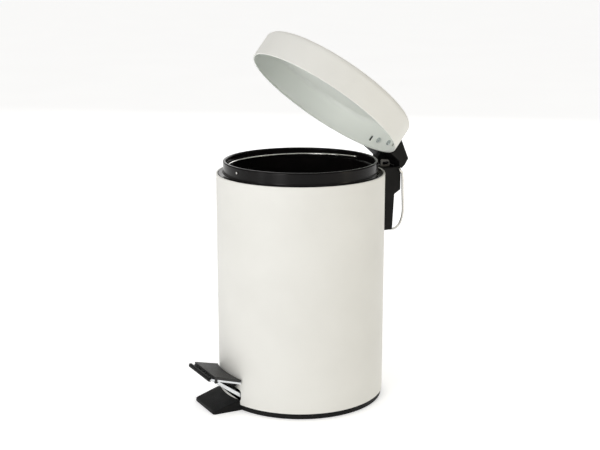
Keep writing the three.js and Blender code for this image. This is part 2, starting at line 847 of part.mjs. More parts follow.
place('body_shell', bodyShell(), finishes.paint());
place('base', baseMoulding(), finishes.black());
padPockets(gap).forEach((solid, index) => {
  place(`base_pad_${index + 1}`, solid, finishes.rubber());
});
place('inner_bucket', innerBucket(), finishes.gloss());
place('bucket_bail', bucketBail(), finishes.zinc());
place('hinge_bracket', hingeBracket(), finishes.black());
bracketRivets.forEach(({ x, down }, index) => {
  const headY = shellDepthAt(x) - shell.wall - 1.6 - rivet.dome;
  place(`bracket_rivet_${index + 1}`, domedRivet(x, shell.top - down, headY, rivet), finishes.zinc());
});
place('carry_handle', carryHandle(), finishes.zinc());
place('pedal_lever', pedalLever(), finishes.zinc());
place('pedal_pad', pedalPad(), finishes.black());
place('pedal_filler', pedalFiller(), finishes.black());
place('pedal_lip', pedalLip(), finishes.black());
place('lever_pin', leverPin(), finishes.zinc());
place('lever_pin_clip', pinClip(), finishes.zinc());
place('push_rod', pushRod(), finishes.zinc());
place('rod_head', rodHead(), finishes.black());
place('rod_foot', rodFoot(), finishes.black());
place('rod_guide', rodGuide(), finishes.black());

const lidGroup = new THREE.Group();
lidGroup.position.set(0, hingeY, hingeZ);
lidGroup.rotation.x = -lid.open * degrees;
group.add(lidGroup);

function placeOnLid(name, solid, material) {
  place(name, solid.translate([0, -hingeY, -hingeZ]), material, lidGroup);
}

placeOnLid('lid_shell', lidShell(), finishes.paint());
placeOnLid('lid_hinge_block', hingeBlock(), finishes.black());
[-1, 1].forEach((side) => {
  const name = side < 0 ? 'lid_rivet_left' : 'lid_rivet_right';
  const x = side * rivet.offset;
  const headY = Math.sqrt(lidRadius * lidRadius - x * x) - lid.wall - 1.6 - rivet.dome;
  placeOnLid(name, domedRivet(x, lidRim + rivet.up, headY, rivet), finishes.zinc());
});

export default group;
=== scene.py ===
import json
import math

import bmesh
import bpy
from mathutils import Matrix, Vector


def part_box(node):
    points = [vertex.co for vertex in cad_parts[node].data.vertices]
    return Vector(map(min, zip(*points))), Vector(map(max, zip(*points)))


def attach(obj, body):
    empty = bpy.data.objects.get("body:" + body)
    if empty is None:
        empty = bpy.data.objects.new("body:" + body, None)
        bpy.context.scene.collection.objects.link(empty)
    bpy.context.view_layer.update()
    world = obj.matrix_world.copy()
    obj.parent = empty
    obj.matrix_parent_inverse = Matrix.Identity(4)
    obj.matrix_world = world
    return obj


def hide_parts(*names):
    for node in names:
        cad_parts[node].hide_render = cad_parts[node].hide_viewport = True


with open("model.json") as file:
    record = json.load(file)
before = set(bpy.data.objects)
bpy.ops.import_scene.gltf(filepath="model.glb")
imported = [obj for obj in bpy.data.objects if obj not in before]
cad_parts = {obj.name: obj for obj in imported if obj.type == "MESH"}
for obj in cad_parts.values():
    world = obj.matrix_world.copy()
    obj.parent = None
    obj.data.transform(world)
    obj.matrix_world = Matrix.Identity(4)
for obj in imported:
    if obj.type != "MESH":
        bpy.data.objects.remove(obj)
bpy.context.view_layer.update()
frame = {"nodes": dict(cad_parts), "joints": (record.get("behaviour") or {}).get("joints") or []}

# A pedal bin: painted steel shell and lid, black plastic base, bucket and hinge parts, and a
# bright steel lever and wire handle. Shapes are worked in millimetres and brought to metres
# when a piece is finished.

MM = 0.001
scene = bpy.context.scene


def box_mm(node):
    low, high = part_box(node)
    return low / MM, high / MM


joints = {j["name"]: j for j in frame["joints"]}
hinge = Vector(joints["lid_hinge"]["pos_m"]) / MM
pivot = Vector(joints["pedal_pivot"]["pos_m"]) / MM
lid_angle = math.radians(-joints["lid_hinge"]["range_deg"][0])

shell_low, shell_high = box_mm("body_shell")
base_low, base_high = box_mm("base")
bucket_low, bucket_high = box_mm("inner_bucket")
bracket_low, bracket_high = box_mm("hinge_bracket")
lever_high = box_mm("pedal_lever")[1]
handle_high = box_mm("carry_handle")[1]
head_low = box_mm("rod_head")[0]

RADIUS = shell_high.x
TOP = shell_high.z
BASE_RADIUS = base_high.x
COLLAR_RADIUS = RADIUS - 7
COLLAR_TOP = bucket_high.z
LID_RADIUS = RADIUS + 0.15
LID_RIM = TOP + 4.8
LID_HEIGHT = 29.62
HINGE_HALF = bracket_high.x
BARREL = 2.4
KNUCKLE_INNER, KNUCKLE_OUTER = 16.6, 20.3
WIRE = 1.25


# ---------------------------------------------------------------------------------------------
# Shaping

def arc(cx, cz, radius, start, end, steps=6):
    angles = [math.radians(start + (end - start) * i / steps) for i in range(steps + 1)]
    return [(cx + radius * math.cos(a), cz + radius * math.sin(a)) for a in angles]


def crisp(profile, near=0.4):
    """Adds a point close to each end of every long straight stretch, so flats stay flat."""
    points = []
    for a, b in zip(profile, profile[1:] + profile[:1]):
        points.append(a)
        start, end = Vector(a), Vector(b)
        length = (end - start).length
        if length > 5 * near:
            points += [tuple(start.lerp(end, near / length)), tuple(end.lerp(start, near / length))]
    return points


def turned(profile, steps=160):
    """A closed [radius, height] outline turned about the bin's axis."""
    bm = bmesh.new()
    verts = [bm.verts.new((r, 0, z)) for r, z in profile]
    edges = [
        bm.edges.new((a, b))
        for a, b in zip(verts, verts[1:] + verts[:1])
        if a.co.x > 0 or b.co.x > 0
    ]
    bmesh.ops.spin(bm, geom=verts + edges, cent=(0, 0, 0), axis=(0, 0, 1),
                   angle=math.tau, steps=steps, use_merge=True)
    bmesh.ops.remove_doubles(bm, verts=bm.verts, dist=1e-4)
    bmesh.ops.recalc_face_normals(bm, faces=bm.faces)
    return bm


def pushed(points, along, low, high):
    """An outline pulled straight along X from its YZ plane, or along Z from its XY plane."""
    bm = bmesh.new()
    if along == "x":
        verts = [bm.verts.new((low, y, z)) for y, z in points]
    else:
        verts = [bm.verts.new((x, y, low)) for x, y in points]
    face = bm.faces.new(verts)
    pulled = bmesh.ops.extrude_face_region(bm, geom=[face])
    top = [v for v in pulled["geom"] if isinstance(v, bmesh.types.BMVert)]
    way = Vector((high - low, 0, 0)) if along == "x" else Vector((0, 0, high - low))
    bmesh.ops.translate(bm, verts=top, vec=way)
    bmesh.ops.recalc_face_normals(bm, faces=bm.faces)
    return bm


def block(x0, x1, y0, y1, z0, z1):
    return pushed([(y0, z0), (y1, z0), (y1, z1), (y0, z1)], "x", x0, x1)


def rod(radius, x0, x1, y, z, segments=32):
    """A round bar along X."""
    bm = bmesh.new()
    bmesh.ops.create_cone(bm, cap_ends=True, segments=segments, radius1=radius, radius2=radius,
                          depth=x1 - x0)
    bmesh.ops.rotate(bm, verts=bm.verts, cent=(0, 0, 0), matrix=Matrix.Rotation(math.pi / 2, 3, "Y"))
    bmesh.ops.translate(bm, verts=bm.verts, vec=((x0 + x1) / 2, y, z))
    return bm


def post(radius, z0, z1, x=0.0, y=0.0, segments=160):
    """A round bar standing along Z."""
    bm = bmesh.new()
    bmesh.ops.create_cone(bm, cap_ends=True, segments=segments, radius1=radius, radius2=radius,
                          depth=z1 - z0)
    bmesh.ops.translate(bm, verts=bm.verts, vec=(x, y, (z0 + z1) / 2))
    return bm


def soften(bm, width, segments=3, sharper_than=25, keep=None):
    """Rounds the edges that turn by more than an angle, and that keep() lets through."""
    limit = math.radians(sharper_than)
    edges = [
        e for e in bm.edges
        if e.is_manifold and e.calc_face_angle() > limit and (keep is None or keep(e))
    ]
    bmesh.ops.bevel(bm, geom=edges, offset=width, offset_type="OFFSET", affect="EDGES",
                    segments=segments, profile=0.5, material=-1, clamp_overlap=True)
    return bm


def is_upright(edge):
    return abs((edge.verts[0].co - edge.verts[1].co).z) > 1


def is_front_corner(edge):
    return is_upright(edge) and edge.verts[0].co.y < -90


def work_object(bm):
    mesh = bpy.data.meshes.new("work")
    bm.to_mesh(mesh)
    bm.free()
    thing = bpy.data.objects.new("work", mesh)
    scene.collection.objects.link(thing)
    return thing


def merged(bm, operation, *tools):
    """Cuts the tools from a shape, joins them to it, or keeps what they share."""
    whole = work_object(bm)
    others = [work_object(t) for t in tools]
    for other in others:
        step = whole.modifiers.new("step", "BOOLEAN")
        step.object = other
        step.operation = operation
        step.solver = "EXACT"
    graph = bpy.context.evaluated_depsgraph_get()
    result = bmesh.new()
    result.from_object(whole, graph)
    for thing in [whole, *others]:
        mesh = thing.data
        bpy.data.objects.remove(thing)
        bpy.data.meshes.remove(mesh)
    bmesh.ops.dissolve_degenerate(result, dist=1e-4, edges=result.edges)
    return result


def cut(bm, *tools):
    return merged(bm, "DIFFERENCE", *tools)


def joined(bm, *tools):
    return merged(bm, "UNION", *tools)


def rounded(points, radius, steps=8):
    """A path with its corners eased by curves that start the given distance away."""
    path = [Vector(points[0])]
    for a, b, c in zip(points, points[1:], points[2:]):
        corner = Vector(b)
        back, on = Vector(a) - corner, Vector(c) - corner
        reach = min(radius, back.length / 2, on.length / 2)
        back, on = back.normalized() * reach, on.normalized() * reach
        for i in range(steps + 1):
            t = i / steps
            path.append(corner + back * (1 - t) ** 2 + on * t ** 2)
    return path + [Vector(points[-1])]


def wire(path, radius, sides=5):
    """A round wire that follows a path, with closed ends."""
    line = bpy.data.curves.new("work", "CURVE")
    line.dimensions = "3D"
    line.bevel_depth = radius
    line.bevel_resolution = sides
    line.use_fill_caps = True
    spline = line.splines.new("POLY")
    spline.points.add(len(path) - 1)
    for point, place in zip(spline.points, path):
        point.co = (*place, 1)
    thing = bpy.data.objects.new("work", line)
    scene.collection.objects.link(thing)
    graph = bpy.context.evaluated_depsgraph_get()
    mesh = bpy.data.meshes.new_from_object(thing.evaluated_get(graph))
    bm = bmesh.new()
    bm.from_mesh(mesh)
    bpy.data.objects.remove(thing)
    bpy.data.curves.remove(line)
    bpy.data.meshes.remove(mesh)
    bmesh.ops.remove_doubles(bm, verts=bm.verts, dist=1e-4)
    bmesh.ops.recalc_face_normals(bm, faces=bm.faces)
    return bm


def strip(p, q, thick, x0, x1, shift=0.0):
    """A flat bar of one thickness from p to q in the YZ plane, pulled along X."""
    run = Vector(q) - Vector(p)
    side = Vector((-run.y, run.x)).normalized()
    low, high = side * (shift - thick / 2), side * (shift + thick / 2)
    corners = [Vector(p) + low, Vector(q) + low, Vector(q) + high, Vector(p) + high]
    return pushed([tuple(c) for c in corners], "x", x0, x1)


def swing(bm, angle):
    """Turns a shape about the lid's hinge."""
    bmesh.ops.rotate(bm, verts=bm.verts, cent=hinge, matrix=Matrix.Rotation(angle, 3, "X"))
    return bm


def finish_piece(name, bm, body, slot, finish, *nodes, smooth=32, even=False):
    """Brings a shape to metres, gives it its finish and sets it on its body."""
    bmesh.ops.scale(bm, verts=bm.verts, vec=(MM, MM, MM))
    mesh = bpy.data.meshes.new(name)
    bm.to_mesh(mesh)
    bm.free()
    mesh.materials.append(finish)
    mesh.shade_smooth()
    mesh.set_sharp_from_angle(angle=math.radians(smooth))
    piece = bpy.data.objects.new(name, mesh)
    scene.collection.objects.link(piece)
    if even:
        weights = piece.modifiers.new("even", "WEIGHTED_NORMAL")
        weights.keep_sharp = True
    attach(piece, body)
    if nodes:
        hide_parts(*nodes)
    return piece


# ---------------------------------------------------------------------------------------------
# Finishes

class Finish:
    """One finish: a Principled surface, and the nodes that give it grain, wear and sheen."""

    def __init__(self, name):
        self.material = bpy.data.materials.new(name)
        self.material.use_nodes = True
        self.nodes = self.material.node_tree.nodes
        self.links = self.material.node_tree.links
        self.surface = self.nodes["Principled BSDF"]
        place = self.nodes.new("ShaderNodeTexCoord")
        self.place = place.outputs["Object"]
        self.height = None

    def set(self, **values):
        for name, value in values.items():
            self.surface.inputs[name.replace("_", " ")].default_value = value
        return self

    def stretch(self, scale):
        """The piece's own coordinates, stretched."""
        mapping = self.nodes.new("ShaderNodeMapping")
        mapping.inputs["Scale"].default_value = scale
        self.links.new(self.place, mapping.inputs["Vector"])
        return mapping.outputs["Vector"]

    def noise(self, scale, detail=2.0, roughness=0.5, place=None):
        noise = self.nodes.new("ShaderNodeTexNoise")
        noise.inputs["Scale"].default_value = scale
        noise.inputs["Detail"].default_value = detail
        noise.inputs["Roughness"].default_value = roughness
        self.links.new(place or self.place, noise.inputs["Vector"])
        return noise.outputs["Fac"]

    def grain(self, scale, randomness=1.0):
        cells = self.nodes.new("ShaderNodeTexVoronoi")
        cells.inputs["Scale"].default_value = scale
        cells.inputs["Randomness"].default_value = randomness
        self.links.new(self.place, cells.inputs["Vector"])
        return cells.outputs["Distance"]

    def between(self, value, low, high, start=0.3, end=0.7):
        """Maps a pattern onto a range."""
        change = self.nodes.new("ShaderNodeMapRange")
        change.inputs["From Min"].default_value = start
        change.inputs["From Max"].default_value = end
        change.inputs["To Min"].default_value = low
        change.inputs["To Max"].default_value = high
        self.links.new(value, change.inputs["Value"])
        return change.outputs["Result"]

    def shades(self, value, dark, light, start=0.3, end=0.7):
        """Colours that a pattern runs between."""
        ramp = self.nodes.new("ShaderNodeValToRGB")
        ramp.color_ramp.elements[0].position = start
        ramp.color_ramp.elements[0].color = (*dark, 1)
        ramp.color_ramp.elements[1].position = end
        ramp.color_ramp.elements[1].color = (*light, 1)
        self.links.new(value, ramp.inputs["Fac"])
        self.links.new(ramp.outputs["Color"], self.surface.inputs["Base Color"])
        return self

    def rough(self, value, low, high, start=0.3, end=0.7):
        self.links.new(self.between(value, low, high, start, end), self.surface.inputs["Roughness"])
        return self

    def bumps(self, value, depth, strength=1.0):
        """Adds surface relief of a depth in metres."""
        bump = self.nodes.new("ShaderNodeBump")
        bump.inputs["Strength"].default_value = strength
        bump.inputs["Distance"].default_value = depth
        self.links.new(value, bump.inputs["Height"])
        if self.height:
            self.links.new(self.height, bump.inputs["Normal"])
        self.height = bump.outputs["Normal"]
        self.links.new(self.height, self.surface.inputs["Normal"])
        return self


def paint(name, dark, light, low, high, peel):
    """Sprayed powder paint: a faint drift in the colour, and orange peel."""
    coat = Finish(name).set(Specular_IOR_Level=0.45)
    coat.shades(coat.noise(14, 3, 0.55), dark, light)
    coat.rough(coat.noise(60, 4, 0.6), low, high)
    coat.bumps(coat.noise(520, 2, 0.45), peel)
    coat.bumps(coat.noise(2600, 2, 0.5), peel * 0.25)
    return coat.material


def paint_under_lid_painted_light(name, front, back, low, high, peel):
    """The paint under the lid, with painted light and shade: darker at the front, lighter towards the
    hinge.
    """
    coat = Finish(name).set(Specular_IOR_Level=0.45)
    # Painted light and shade: the colour ramp follows the lid's Y coordinate, with a little noise
    # added.
    split = coat.nodes.new("ShaderNodeSeparateXYZ")
    coat.links.new(coat.place, split.inputs["Vector"])
    drift = coat.nodes.new("ShaderNodeMath")
    drift.operation = "ADD"
    coat.links.new(split.outputs["Y"], drift.inputs[0])
    coat.links.new(coat.between(coat.noise(14, 3, 0.55), -0.01, 0.01), drift.inputs[1])
    coat.shades(coat.between(drift.outputs["Value"], 0, 1, -0.04, 0.09), front, back, 0, 1)
    coat.rough(coat.noise(60, 4, 0.6), low, high)
    coat.bumps(coat.noise(520, 2, 0.45), peel)
    return coat.material


def plastic(name, dark, light, low, high, gloss, grain_scale, grain_depth):
    """Moulded plastic: spark-eroded grain with slight rubbing marks."""
    skin = Finish(name).set(Specular_IOR_Level=gloss)
    skin.shades(skin.noise(38, 4, 0.6), dark, light)
    skin.rough(skin.noise(90, 4, 0.65), low, high)
    skin.bumps(skin.grain(grain_scale), grain_depth)
    skin.bumps(skin.noise(160, 2, 0.5), grain_depth * 0.6)
    return skin.material


def bright(name, dark, light, low, high, along, depth):
    """Plated steel: fine drawn lines one way, and a soft patchy sheen."""
    plate = Finish(name).set(Metallic=1.0)
    lines = plate.noise(900, 3, 0.6, plate.stretch(along))
    plate.shades(plate.noise(120, 4, 0.6), dark, light)
    plate.rough(lines, low, high)
    plate.bumps(lines, depth)
    return plate.material


cream = paint("cream_paint", (0.715, 0.71, 0.67), (0.755, 0.75, 0.71), 0.44, 0.52, 0.00005)
# The lid's underside takes a copy of the paint with painted light: shaded grey-green at the front, near
# white towards the hinge.
cream_inside_painted_light = paint_under_lid_painted_light(
    "cream_paint_inside_painted_light", (0.62, 0.65, 0.61), (0.89, 0.92, 0.87), 0.30, 0.40, 0.00006)
black = plastic(
    "black_plastic", (0.004, 0.004, 0.004), (0.007, 0.007, 0.007), 0.46, 0.58, 0.13, 2200, 0.00006)
ear_black = plastic(
    "cross_head_plastic", (0.012, 0.012, 0.013), (0.018, 0.018, 0.019), 0.28, 0.36, 0.6, 1800, 0.00002)
tread_black = plastic(
    "tread_plastic", (0.010, 0.010, 0.010), (0.018, 0.017, 0.017), 0.40, 0.52, 0.5, 2600, 0.00005)
bucket_black = plastic(
    "bucket_plastic", (0.004, 0.004, 0.004), (0.007, 0.006, 0.006), 0.16, 0.22, 0.13, 3000, 0.000006)
zinc = bright("zinc", (0.60, 0.62, 0.64), (0.78, 0.80, 0.82), 0.18, 0.34, (1, 0.06, 0.06), 0.00001)
rivet_steel = bright(
    "rivet_steel", (0.50, 0.54, 0.55), (0.62, 0.66, 0.66), 0.22, 0.32, (1, 0.3, 1), 0.00001)
steel_wire = bright(
    "bright_wire", (0.62, 0.61, 0.58), (0.78, 0.77, 0.74), 0.16, 0.28, (0.1, 1, 0.1), 0.000008)
rubber = plastic(
    "pad_rubber", (0.010, 0.010, 0.010), (0.018, 0.018, 0.018), 0.75, 0.9, 0.3, 1500, 0.0001)


# ---------------------------------------------------------------------------------------------
# The painted shell

WALL = 0.9
SHELL_FOOT = shell_low.z
FLANGE_RADIUS = RADIUS - 9.8
HEM = 0.9
SUNK = TOP - 1.6

# The lever's arm runs from the bend under the shell up to the fold in front of the tread.
bend_at = (-(RADIUS - 8), pivot.z - 7.4)
TREAD_SLOPE = math.radians(15.1)
TREAD_BACK = RADIUS - 4.5
TREAD_FRONT = RADIUS + 28.5
PAD_THICK, PLATE_THICK, GAP = 2.6, 1.8, 0.3


def tread_top(out):
    return pivot.z + 14 + math.tan(TREAD_SLOPE) * (out - TREAD_BACK)


def tread_centre(out):
    return tread_top(out) - (PAD_THICK + GAP + PLATE_THICK / 2) / math.cos(TREAD_SLOPE)


fold_at = (-TREAD_FRONT, tread_centre(TREAD_FRONT))


def arm_passage(below=4.0, above=5.1, half=24.9):
    """The room that the lever's arm moves in, with rounded corners."""
    run = Vector(fold_at) - Vector(bend_at)
    inner = Vector(bend_at) - run * 0.2
    room = strip(tuple(inner), fold_at, below + above, -half, half, (below - above) / 2)
    return soften(room, 2.2, 4, keep=lambda e: abs((e.verts[0].co - e.verts[1].co).x) < 0.1)


def shell_piece():
    tube = turned(crisp([
        (RADIUS - 0.2, SHELL_FOOT),
        (RADIUS, SHELL_FOOT + 0.2),
        (RADIUS, 45),
        *arc(RADIUS - HEM, TOP - HEM, HEM, 0, 180, 10),
        (RADIUS - 2 * HEM, SUNK),
        (FLANGE_RADIUS + 1.0, SUNK),
        *arc(FLANGE_RADIUS + 1.0, SUNK - 1.0, 1.0, 90, 180, 4),
        (FLANGE_RADIUS, TOP - 4),
        (FLANGE_RADIUS + WALL, TOP - 4),
        (FLANGE_RADIUS + WALL, SUNK - WALL),
        (RADIUS - WALL, SUNK - WALL),
        (RADIUS - WALL, 45),
        (RADIUS - WALL, SHELL_FOOT),
    ]), 192)
    slot = block(-2.5, 2.5, RADIUS - 4, RADIUS + 2, TOP - 60, TOP - 14)
    return cut(tube, arm_passage(), slot)


finish_piece("bin_shell", shell_piece(), "body", "cream_paint", cream, "body_shell")


# ---------------------------------------------------------------------------------------------
# Base moulding with its foot

FOOT_FRONT = -base_low.y
FOOT_FRONT_HALF, FOOT_BACK_HALF = 22.6, 24.1
FOOT_FRONT_HEIGHT, FOOT_BACK_HEIGHT = 3.0, 10.8
FOOT_ROOT = 8  # how far the foot runs in under the ring
SPIGOT_TOP, SPIGOT_WALL, FLOOR = 16, 2.4, 2.6
RING = SHELL_FOOT - GAP


def foot_piece():
    root = -RADIUS + FOOT_ROOT
    plan = pushed([
        (-FOOT_FRONT_HALF, -FOOT_FRONT), (FOOT_FRONT_HALF, -FOOT_FRONT),
        (FOOT_BACK_HALF, root), (-FOOT_BACK_HALF, root),
    ], "z", 0, FOOT_BACK_HEIGHT)
    soften(plan, 2.4, 4, keep=is_front_corner)
    side = pushed([
        (-FOOT_FRONT, 0), (root, 0), (root, FOOT_BACK_HEIGHT), (-RADIUS + 2, FOOT_BACK_HEIGHT),
        (-FOOT_FRONT, FOOT_FRONT_HEIGHT),
    ], "x", -30, 30)
    wedge = merged(plan, "INTERSECT", side)
    soften(wedge, 0.8, 3, keep=lambda e: max(v.co.z for v in e.verts) > 3
           and max(v.co.y for v in e.verts) < -RADIUS + 7)
    return cut(wedge, post(RADIUS + GAP, RING, 12))


def base_piece():
    spigot = RADIUS - WALL - GAP
    ring = turned(crisp([
        (0, 1.2), (BASE_RADIUS - 6, 1.2), (BASE_RADIUS - 6.6, 0.5), (BASE_RADIUS - 5.4, 0),
        *arc(BASE_RADIUS - 1.2, 1.2, 1.2, 270, 360, 5),
        (BASE_RADIUS, RING - 0.3), (BASE_RADIUS - 0.3, RING),
        (spigot, RING), (spigot, SPIGOT_TOP), (spigot - SPIGOT_WALL, SPIGOT_TOP),
        (spigot - SPIGOT_WALL, FLOOR), (0, FLOOR),
    ]))
    notch = block(-6, 6, RADIUS - 11, RADIUS, RING + 1, SPIGOT_TOP + 1)
    return cut(joined(ring, foot_piece()), arm_passage(), notch)


finish_piece("base_moulding", base_piece(), "body", "black_plastic", black, "base")


# ---------------------------------------------------------------------------------------------
# Bucket and its wire

COLLAR_WALL = 3.2
LEDGE_DROP = 8.2
BAIL_WIRE, BAIL_CLEAR, BAIL_SAG = 1.1, 0.9, 1.9
INNER = COLLAR_RADIUS - COLLAR_WALL
BUCKET_WALL = FLANGE_RADIUS - 0.7
BAIL_TURN = math.radians(100)
BAIL_Z = COLLAR_TOP - 5


def turned_to_bail(bm):
    bmesh.ops.rotate(bm, verts=bm.verts, cent=(0, 0, 0), matrix=Matrix.Rotation(BAIL_TURN, 3, "Z"))
    return bm


def bucket_piece():
    seat = SUNK + GAP
    rim_top, rim_out = TOP - 0.2, RADIUS - 2 * HEM - GAP
    ledge = COLLAR_TOP - LEDGE_DROP
    foot = bucket_low.z
    wall_foot = BUCKET_WALL - 4
    body = turned(crisp([
        (0, foot), (wall_foot - 8, foot), *arc(wall_foot - 4, foot + 4, 4, 270, 360, 6),
        (BUCKET_WALL, seat - 4), (BUCKET_WALL, seat),
        (rim_out, seat), (rim_out, rim_top - 0.3), (rim_out - 0.3, rim_top),
        *arc(COLLAR_RADIUS + 1.6, rim_top + 1.6, 1.6, 270, 180, 6),
        *arc(COLLAR_RADIUS - 1.3, COLLAR_TOP - 1.3, 1.3, 0, 90, 5),
        *arc(INNER + 1.3, COLLAR_TOP - 1.3, 1.3, 90, 180, 5),
        (INNER, ledge + 0.5), (INNER - 0.5, ledge),
        (INNER - 1.4, ledge), (INNER - 1.9, ledge - 0.6),
        (BUCKET_WALL - 1.6, ledge - 3.2),
        (wall_foot - 1.6, foot + 6), *arc(wall_foot - 5.6, foot + 5.6, 4, 0, -90, 6),
        (0, foot + 1.6),
    ]))
    bore = turned_to_bail(rod(1.4, -COLLAR_RADIUS - 1, COLLAR_RADIUS + 1, 0, BAIL_Z))
    return cut(body, bore)


finish_piece("bucket", bucket_piece(), "bucket", "bucket_plastic", bucket_black, "inner_bucket")


def bail_piece():
    radius = INNER - BAIL_WIRE - BAIL_CLEAR
    loop = []
    for i in range(61):
        a = math.pi * i / 60
        sag = BAIL_SAG * math.sin(a)
        loop.append(Vector((-radius * math.cos(a), radius * math.sin(a), BAIL_Z - sag)))
    path = [(-COLLAR_RADIUS - 1.0, 0, BAIL_Z), (-radius, 0, BAIL_Z), *loop[2:-2],
            (radius, 0, BAIL_Z), (COLLAR_RADIUS + 1.0, 0, BAIL_Z)]
    return turned_to_bail(wire(rounded(path, 1.0, 4), BAIL_WIRE))


finish_piece("bucket_wire", bail_piece(), "bail", "bright_wire", steel_wire, "bucket_bail")


# ---------------------------------------------------------------------------------------------
# Hinge bracket and the carry handle

def bracket_piece():
    top = hinge.z + BARREL
    face = hinge.y + BARREL
    low = bracket_low.z
    body = pushed([
        (RADIUS - 12, low), (RADIUS + 9.3, low), (RADIUS + 11.4, top - 28.2), (face, top - 24),
        *arc(hinge.y, hinge.z, BARREL, 0, 90, 6), (RADIUS - 12, top),
    ], "x", -HINGE_HALF, HINGE_HALF)
    soften(body, 0.8, 3, sharper_than=30,
           keep=lambda e: max(v.co.y for v in e.verts) > RADIUS)
    pocket = block(-17.5, 17.5, 0, hinge.y - 3.3, TOP - 16, top + 1)
    channel = block(-2.5, 2.5, 0, RADIUS + 6.4, TOP - 60, top + 1)
    knuckle_slots = [
        block(min(s * 16.3, s * 20.6), max(s * 16.3, s * 20.6), hinge.y - 5.3, face + 1,
              hinge.z - BARREL - GAP, top + 1)
        for s in (-1, 1)
    ]
    bore = rod(WIRE + GAP, -HINGE_HALF - 1, HINGE_HALF + 1, hinge.y, hinge.z)
    return cut(body, post(RADIUS + GAP, low - 1, top + 1), pocket, channel, *knuckle_slots, bore)


finish_piece("bracket", bracket_piece(), "body", "black_plastic", black, "hinge_bracket", even=True)


HANDLE_STRAIGHT, HANDLE_BACK = 41, 4.6


def handle_piece():
    x = handle_high.x - WIRE
    y, z = hinge.y, hinge.z
    side = [
        (x, y + 0.35, z - 1.5), (x, y + 2.9, z - 4.2), (x, y + 3.3, z - 10),
        (x, y + 3.8, z - 25), (x, y + HANDLE_BACK, z - HANDLE_STRAIGHT),
    ]
    loop = []
    for i in range(1, 32):
        a = math.pi * i / 32
        loop.append((x * math.cos(a), y + HANDLE_BACK + 0.3 * math.sin(a),
                     z - HANDLE_STRAIGHT - x * math.sin(a)))
    right = [(14.5, y, z), (x, y, z), *side]
    left = [(-px, py, pz) for px, py, pz in reversed(right)]
    return wire([*rounded([*right, loop[0]], 1.6, 5)[:-1], *[Vector(p) for p in loop],
                 *rounded([loop[-1], *left], 1.6, 5)[1:]], WIRE)


finish_piece("handle_wire", handle_piece(), "handle", "bright_wire", steel_wire, "carry_handle")


# ---------------------------------------------------------------------------------------------
# Lid, shaped shut and then swung open

TAB_OFFSET = 22  # the block's two tabs and the lid's slots for them
RIVET_OFFSET, RIVET_UP = 9.8, 11
LUG_DROOP = math.radians(10)
LUG_HALF, LUG_REACH, LUG_BACK, LUG_BELOW = 2.5, 15.3, 5.3, 2


def lid_piece():
    r, top = LID_RADIUS, LID_RIM + LID_HEIGHT
    corner, roll = 5.6, 1.8
    dome = turned(crisp([
        (r - roll, LID_RIM + 0.3), (r - roll + 0.3, LID_RIM),
        *arc(r - 0.7, LID_RIM + 0.7, 0.7, 270, 360, 4),
        *arc(r - corner, top - corner, corner, 0, 90, 10),
        (0, top), (0, top - WALL),
        *arc(r - corner, top - corner, corner - WALL, 90, 0, 10),
        (r - WALL, LID_RIM + roll), (r - roll, LID_RIM + roll - 0.8),
    ]), 192)
    slots = [
        block(s * TAB_OFFSET - 1.5, s * TAB_OFFSET + 1.5, r - 8, r + 0.5, LID_RIM + 7.4, LID_RIM + 13.4)
        for s in (-1, 1)
    ]
    return swing(cut(dome, *slots), -lid_angle)


def paint_inside(piece):
    """The underside of the lid takes the copy of the paint that carries painted light and shade."""
    piece.data.materials.append(cream_inside_painted_light)
    centre = Vector((0, 0, LID_RIM - 20)) - hinge
    centre.rotate(Matrix.Rotation(-lid_angle, 3, "X"))
    centre = (centre + hinge) * MM
    for face in piece.data.polygons:
        if (face.center - centre).dot(face.normal) < 0:
            face.material_index = 1


lid = finish_piece("lid_dome", lid_piece(), "lid", "cream_paint", cream, "lid_shell")
paint_inside(lid)


def lug_shape():
    """The rib under the block that the push rod's cross head stands under."""
    def under(out):
        return hinge.z - LUG_BELOW / math.cos(LUG_DROOP) - out * math.tan(LUG_DROOP)
    tip, nose, heel = LUG_REACH, LUG_REACH - 1.2, LUG_BACK
    return pushed([
        (hinge.y - tip, under(tip) + 1.2), (hinge.y - nose, under(nose)),
        (hinge.y - heel, under(heel)), (hinge.y - heel, LID_RIM + 1), (hinge.y - tip, LID_RIM + 1),
    ], "x", -LUG_HALF, LUG_HALF)


def lid_block_piece():
    bottom = hinge.z + BARREL + GAP
    back = hinge.y + 3.2
    body = pushed([
        (LID_RADIUS - 14, LID_RIM), (LID_RADIUS, LID_RIM), (hinge.y - 5, LID_RIM - 0.5),
        (hinge.y - 1.8, bottom), (hinge.y + 2.4, bottom), (back, bottom + 4.5),
        (back - 0.6, bottom + 12.4), (LID_RADIUS - 14, LID_RIM + 25.4),
    ], "x", -HINGE_HALF, HINGE_HALF)
    soften(body, 0.5, 3, keep=lambda e: max(v.co.y for v in e.verts) > LID_RADIUS)
    room = post(LID_RADIUS + GAP, LID_RIM - 8, LID_RIM + 40)
    knuckles = []
    for s in (-1, 1):
        x0, x1 = sorted((s * KNUCKLE_INNER, s * KNUCKLE_OUTER))
        knuckles += [block(x0, x1, hinge.y - BARREL, hinge.y + BARREL, hinge.z, bottom + 2),
                     rod(BARREL, x0, x1, hinge.y, hinge.z)]
        tab = block(s * TAB_OFFSET - 0.9, s * TAB_OFFSET + 0.9, LID_RADIUS - 6.6, LID_RADIUS + 4,
                    LID_RIM + 7.7, LID_RIM + 13.1)
        knuckles.append(cut(tab, post(LID_RADIUS - 0.2, LID_RIM, LID_RIM + 20)))
    knuckles.append(lug_shape())
    bore = rod(WIRE + GAP, -HINGE_HALF - 1, HINGE_HALF + 1, hinge.y, hinge.z)
    return swing(cut(joined(cut(body, room), *knuckles), bore), -lid_angle)


finish_piece("lid_block", lid_block_piece(), "lid", "black_plastic", black, "lid_hinge_block",
             even=True)


